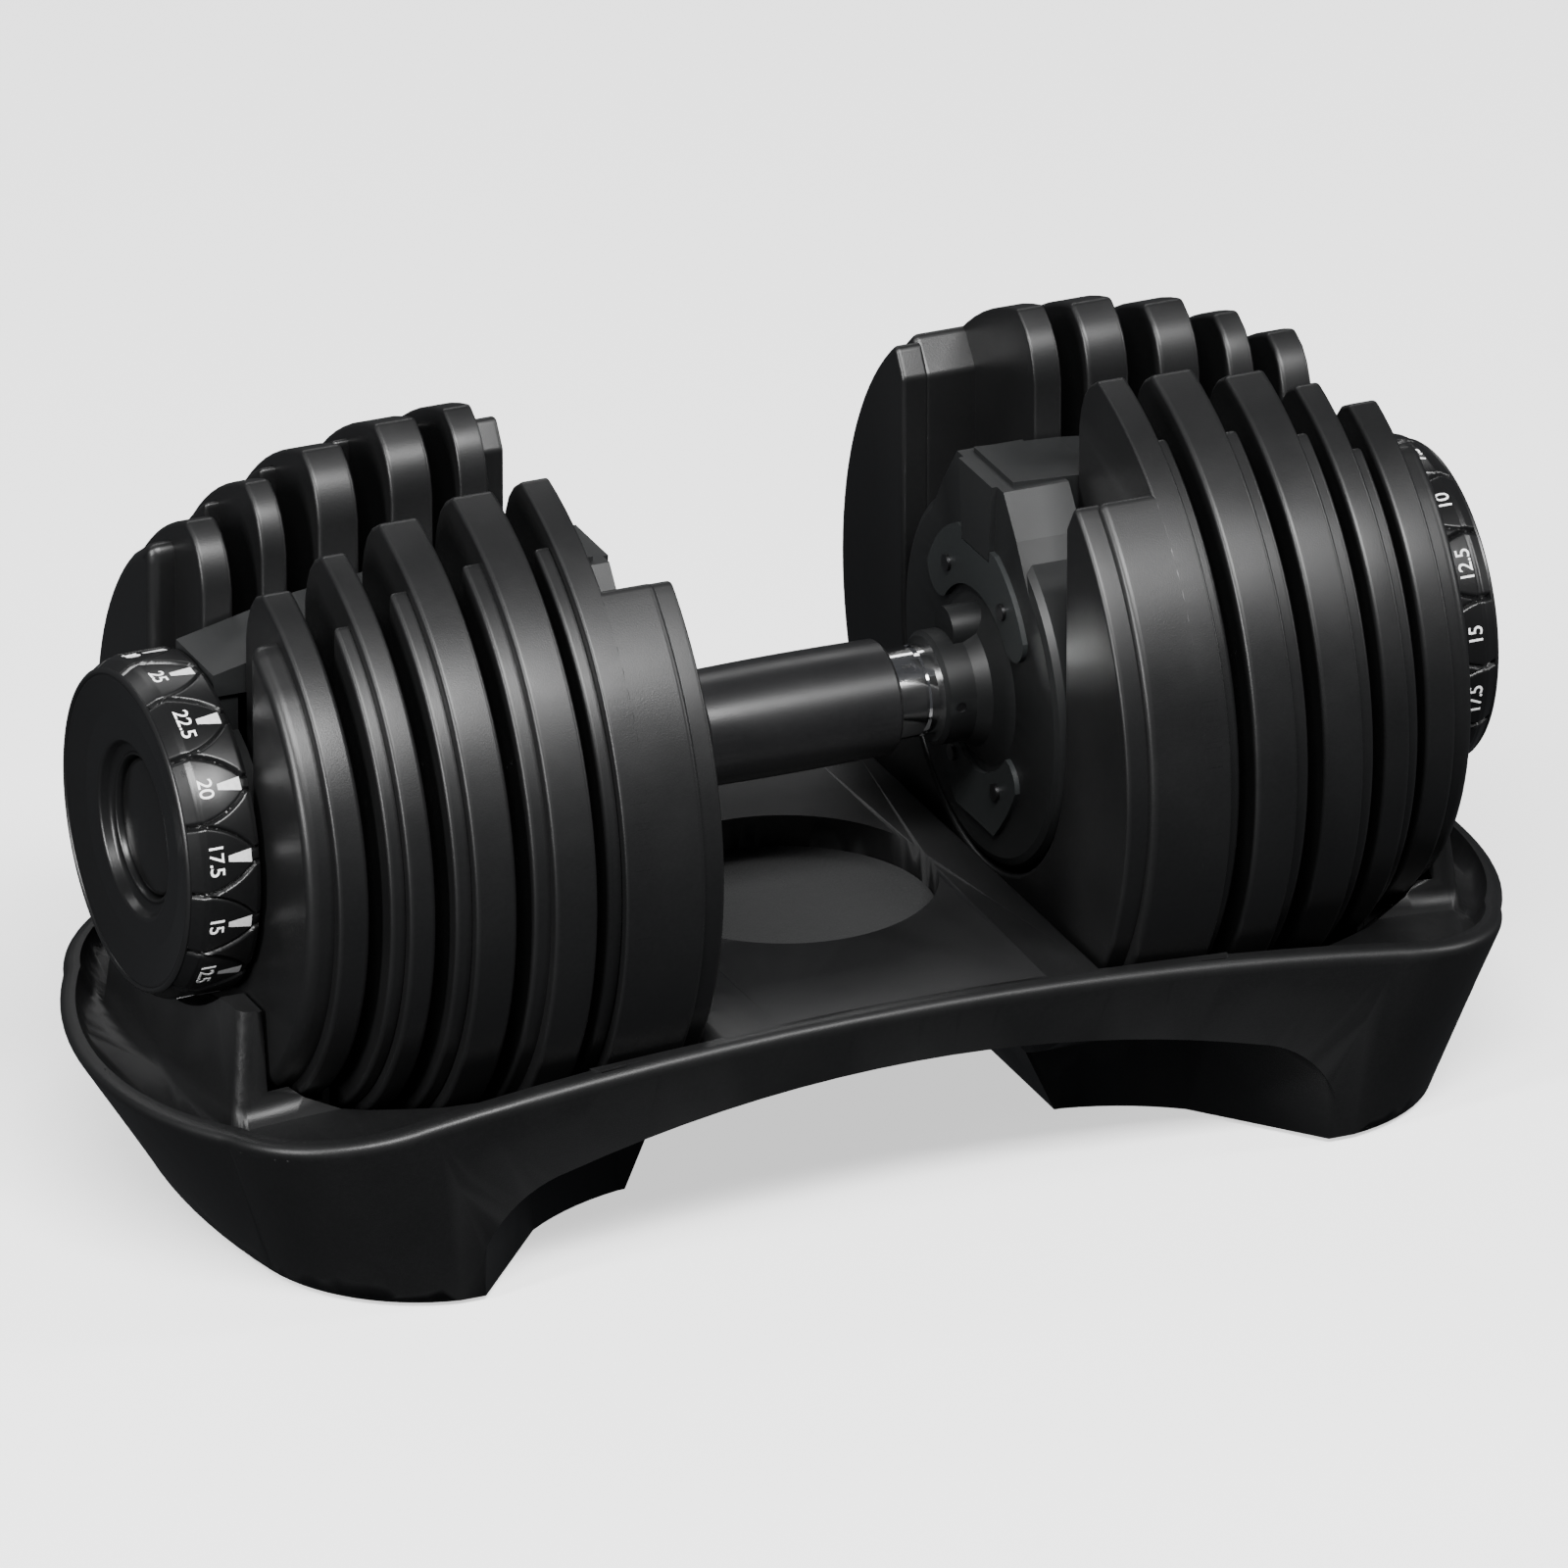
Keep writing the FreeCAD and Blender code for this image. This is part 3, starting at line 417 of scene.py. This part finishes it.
def grooved(build, sign):
    """The last plate's outer slab with the groove that the lock pin drops into."""
    low, high = place(*GROOVE_LOW), place(*GROOVE_HIGH)
    groove = bmesh.new()
    bmesh.ops.create_cube(groove, size=1.0)
    for vertex in groove.verts:
        corner = [low[k] if vertex.co[k] < 0.0 else high[k] for k in range(3)]
        vertex.co = Vector((sign * corner[0], corner[1], corner[2]))
    bmesh.ops.recalc_face_normals(groove, faces=groove.faces)
    bmesh.ops.recalc_face_normals(build, faces=build.faces)
    meshes = []
    for source in (build, groove):
        mesh = bpy.data.meshes.new("stock")
        source.to_mesh(mesh)
        source.free()
        meshes.append(mesh)
    return without(*meshes)


def weight_plate(side, sign, number):
    radius, inner, band, outer = PLATES[number - 1]
    build = bmesh.new()
    if number == 1:
        slab(build, pocketed(99.4, 61.8, 77.8), inner, 69.0, 1.4, 1.0, sign)
        slab(build, pocketed(101.97, 64.4, 79.1), 67.4, 90.0, 2.2, 1.0, sign)
        slab(build, horned(radius), 83.3, band, 0.8, 1.0, sign)
    else:
        slab(build, horned(radius), inner, band, 1.5, 1.4, sign)
    if number == 5:
        outside = bmesh.new()
        outline = recessed(radius - STEP_DROP, LAST_STEP_HALF, 4.6, 3)
        slab(outside, outline, band - 3.0, outer, 0.6, 3.6, sign, 6)
        build.from_mesh(grooved(outside, sign))
    else:
        slab(build, recessed(radius - STEP_DROP, STEP_HALF), band - 3.0, outer, 0.6, 1.4, sign)
    name = f"{side}_plate_{number}"
    piece(name + "_moulding", build, "plate_plastic", name, name + "_jacket")


# ---------------------------------------------------------------- tray

RIM_HEIGHT = 0.0693
ARCH_RADIUS = 1.042
RIM_ROUNDING = 0.0042
CUTTER_MARGIN = 0.003
ON_CREST = 0.00008
DECK_LEVEL = 0.0684
SHELL_MERGE = 0.00001
# no outer edge of the rim lies within this rectangle
INSIDE_X, INSIDE_Y = 0.12, 0.0925


def above_crest(point):
    """Height of a point above the arched rim of the tray."""
    return math.hypot(point.x, point.z - (RIM_HEIGHT - ARCH_RADIUS)) - ARCH_RADIUS


def rim_edges(build):
    """Edges of the tray's rim on its outer side."""
    found = []
    for edge in build.edges:
        if len(edge.link_faces) != 2 or edge.calc_face_angle(0.0) < math.radians(30.0):
            continue
        if max(abs(above_crest(v.co)) for v in edge.verts) > ON_CREST:
            continue
        middle = (edge.verts[0].co + edge.verts[1].co) / 2.0
        if abs(middle.x) < INSIDE_X and abs(middle.y) < INSIDE_Y:
            continue
        side = min(edge.link_faces, key=lambda face: face.normal.z)
        if side.normal.dot(Vector((middle.x * 0.45, middle.y, 0.0))) > 0.0:
            found.append((edge, side.normal.copy()))
    return found


def rim_path(build):
    """Points round the rim's outer edge, each with the skirt's normal there."""
    normals = {}
    for edge, normal in rim_edges(build):
        for vertex in edge.verts:
            normals.setdefault(vertex, Vector())
            normals[vertex] += normal
    path = [(vertex.co.copy(), normal.normalized()) for vertex, normal in normals.items()]
    return sorted(path, key=lambda entry: math.atan2(entry[0].y, entry[0].x))


def corner_section(point, skirt, reach, steps=7):
    """Outline of what is taken off the rim's corner at one point to round it."""
    outward = Vector((skirt.x, skirt.y, 0.0)).normalized()
    top = Vector((0.0, 0.0, 1.0)) + outward * (point.x * outward.x / ARCH_RADIUS)
    along = outward.cross(Vector((0.0, 0.0, 1.0))).normalized()
    inward = along.cross(top).normalized()
    if inward.dot(outward) > 0.0:
        inward.negate()
    down = along.cross(skirt).normalized()
    if down.z > 0.0:
        down.negate()
    section = []
    for step in range(steps + 1):
        part = step / steps
        section.append(point + inward * reach * (1.0 - part) ** 2 + down * reach * part ** 2)
    top.normalize()
    section.append(point + down * reach + skirt * CUTTER_MARGIN)
    section.append(point + (skirt + top) * CUTTER_MARGIN)
    section.append(point + inward * reach + top * CUTTER_MARGIN)
    return section


def rim_cutter(path):
    """Closed ring that takes the rim's outer corner off all the way round."""
    ring = bmesh.new()
    sections = []
    for point, skirt in path:
        sections.append([ring.verts.new(p) for p in corner_section(point, skirt, RIM_ROUNDING)])
    for before, section in zip([sections[-1]] + sections, sections):
        for k in range(len(section)):
            ring.faces.new((before[k - 1], before[k], section[k], section[k - 1]))
    bmesh.ops.recalc_face_normals(ring, faces=ring.faces)
    mesh = bpy.data.meshes.new("cutter")
    ring.to_mesh(mesh)
    ring.free()
    return mesh


def crease_deck(mesh):
    """Keeps the flat deck's shading apart from the arched surfaces beside it."""
    build = bmesh.new()
    build.from_mesh(mesh)

    def is_deck(face):
        return face.normal.z > 0.99999 and face.calc_center_median().z > DECK_LEVEL

    for edge in build.edges:
        if len({is_deck(face) for face in edge.link_faces}) > 1:
            edge.smooth = False
    build.to_mesh(mesh)
    build.free()


def tray_moulding():
    """The tray with the outer edge of its rim rounded and its surfaces smoothed."""
    source = NODES["tray_shell"]
    build = bmesh.new()
    build.from_mesh(source.data)
    build.transform(source.matrix_world)
    bmesh.ops.remove_doubles(build, verts=build.verts, dist=SHELL_MERGE)
    bmesh.ops.recalc_face_normals(build, faces=build.faces)
    path = rim_path(build)
    shell = bpy.data.meshes.new("shell")
    build.to_mesh(shell)
    build.free()
    build = bmesh.new()
    build.from_mesh(without(shell, rim_cutter(path)))
    made = piece("tray_moulding", build, "tray_plastic", "base", "tray_shell")
    crease_deck(made.data)


# ---------------------------------------------------------------- dials

SETTINGS = ("5", "7.5", "10", "12.5", "15", "17.5", "20", "22.5", "25", "30", "35", "40", "45", "50",
            "52.5")
STEP = math.radians(24.0)
DRUM_IN = 179.0
DRUM_OUT = 198.5
DRUM_LIP = 198.8
TILE_COLUMNS = 52
DRUM_ROWS = 44
NUMBER_SIZE = 6.1
NUMBER_X = 191.9
NUMBER_RADIUS = 48.34
MARK_X = 184.8
MARK_RADIUS = 48.36
MARK_LENGTH = 6.8
MARK_STEPS = 6
# which setting shows at the top at rest, and which way the numbers run towards the front
DIALS = {"left": (8, -1), "right": (1, 1)}
FIRST_ANGLE = math.radians(7.0)


def tile_half_width(x):
    part = min(max((DRUM_OUT - x) / 18.0, 0.0), 1.0)
    return math.radians(2.2 + 9.8 * (1.0 - part ** 2.1) ** 0.85)


def smooth(value):
    value = min(max(value, 0.0), 1.0)
    return value * value * (3.0 - 2.0 * value)


def drum_radius(angle, x):
    """Radius of the drum: number tiles between raised lands, split by thin grooves.

    Each tile ends at the outer rim in a sloping pad."""
    slope = max(x - 194.9, 0.0)
    base = 48.3 - 0.62 * slope - 0.5 * smooth((180.2 - x) / 1.2)
    off = abs((angle + STEP / 2.0) % STEP - STEP / 2.0)
    beyond = (off - tile_half_width(x)) * 48.4
    land = 0.5 * smooth(beyond / 1.2 + 0.15) * (1.0 - smooth((x - 194.0) / 3.0))
    groove = 0.8 * math.exp(-(beyond / 0.4) ** 2)
    ledge = 0.35 * math.exp(-((x - 194.9) / 0.35) ** 2)
    notch = 0.7 * smooth((x - 194.0) / 1.5) * smooth((off - math.radians(10.4)) / math.radians(1.2))
    return base + land - groove - ledge - notch


def drum(build, sign, phase):
    columns, rows = len(SETTINGS) * TILE_COLUMNS, DRUM_ROWS
    grid = []
    for row in range(rows + 1):
        x = DRUM_IN + (DRUM_LIP - DRUM_IN) * row / rows
        ring = []
        for column in range(columns):
            angle = 2.0 * math.pi * column / columns
            radius = drum_radius(angle, x)
            turn = angle + phase
            ring.append(build.verts.new(place(sign * x, -radius * math.sin(turn), radius * math.cos(turn))))
        grid.append(ring)
    for one, two in zip(grid, grid[1:]):
        for column in range(columns):
            build.faces.new((one[column - 1], one[column], two[column], two[column - 1]))


def dial_face(build, sign):
    """Front of the knob: a double rim, a bevel, a flat ring and the dish round the cap."""
    profile = ((197.6, 45.6), (198.2, 45.2), (198.6, 45.9), (199.2, 46.05), (199.75, 45.6), (199.95, 44.9),
               (199.7, 44.4), (199.3, 44.2), (199.5, 43.8), (199.45, 43.3), (199.1, 42.4), (197.9, 35.2),
               (197.7, 34.2), (197.6, 33.2), (197.5, 26.4), (197.35, 25.5), (196.7, 24.9), (195.0, 24.3),
               (194.2, 23.6), (193.7, 22.4), (193.7, 21.7), (194.1, 21.2), (194.15, 20.8), (193.8, 20.4),
               (192.6, 20.1), (191.0, 20.0))
    lathe(build, [(sign * x, radius) for x, radius in profile], 180)
    back = ((179.0, 48.0), (179.0, 44.0), (181.0, 43.5), (192.0, 43.5))
    lathe(build, [(sign * x, radius) for x, radius in back], 180)


def curl(mesh, sign, x_middle, angle, radius):
    """Wraps a flat drawing (u along the rim, v across it) onto the drum."""
    for vertex in mesh.vertices:
        u, v, lift = vertex.co
        turn = angle - sign * u / radius
        r = radius + lift
        x = sign * (x_middle - v)
        vertex.co = place(x, -r * math.sin(turn), r * math.cos(turn))


def number_mesh(text):
    curve = bpy.data.curves.new("number", "FONT")
    curve.body = text
    curve.size = NUMBER_SIZE
    curve.align_x = "CENTER"
    curve.align_y = "CENTER"
    curve.space_character = 0.94
    curve.extrude = 0.06
    curve.offset = 0.02
    carrier = bpy.data.objects.new("number", curve)
    bpy.context.scene.collection.objects.link(carrier)
    bpy.context.view_layer.update()
    ready = carrier.evaluated_get(bpy.context.evaluated_depsgraph_get())
    mesh = bpy.data.meshes.new_from_object(ready)
    bpy.data.objects.remove(carrier)
    return mesh


def mark_mesh():
    """The flat wedge beside each number, wider towards the number."""
    tick = bmesh.new()
    rows = []
    for row in range(MARK_STEPS + 1):
        v = -MARK_LENGTH / 2.0 + MARK_LENGTH * row / MARK_STEPS
        half = 0.85 + 1.1 * row / MARK_STEPS
        rows.append([tick.verts.new((half * k / 3.0, v, 0.05)) for k in range(-3, 4)])
    for one, two in zip(rows, rows[1:]):
        for k in range(len(one) - 1):
            tick.faces.new((one[k], one[k + 1], two[k + 1], two[k]))
    mesh = bpy.data.meshes.new("mark")
    tick.to_mesh(mesh)
    tick.free()
    return mesh


def printed(side, sign):
    """The white numbers and wedge marks of one dial, as one piece."""
    rest, run = DIALS[side]
    whole = bmesh.new()
    for index, text in enumerate(SETTINGS):
        angle = FIRST_ANGLE + run * (index - rest) * STEP
        number, mark = number_mesh(text), mark_mesh()
        curl(number, sign, NUMBER_X, angle, NUMBER_RADIUS)
        curl(mark, sign, MARK_X, angle, MARK_RADIUS)
        for mesh in (number, mark):
            whole.from_mesh(mesh)
            bpy.data.meshes.remove(mesh)
    piece(side + "_dial_print", whole, "print_white", side + "_dial")


def dial(side, sign):
    build = bmesh.new()
    drum(build, sign, FIRST_ANGLE)
    dial_face(build, sign)
    piece(side + "_dial_moulding", build, "dial_plastic", side + "_dial", side + "_dial_knob")
    cap = bmesh.new()
    profile = ((193.3, 0.0), (193.25, 9.0), (193.15, 14.0), (193.0, 17.6), (192.7, 18.8), (192.0, 19.5),
               (190.6, 19.7))
    lathe(cap, [(sign * x, radius) for x, radius in profile], 120)
    piece(side + "_dial_button", cap, "cap_gloss", side + "_dial", side + "_dial_cap")
    printed(side, sign)


add_camera()
add_light()
add_floor()
paint_nodes()
tray_moulding()
for side_name, side_sign in SIDES:
    for plate_number in range(1, 6):
        weight_plate(side_name, side_sign, plate_number)
    dial(side_name, side_sign)
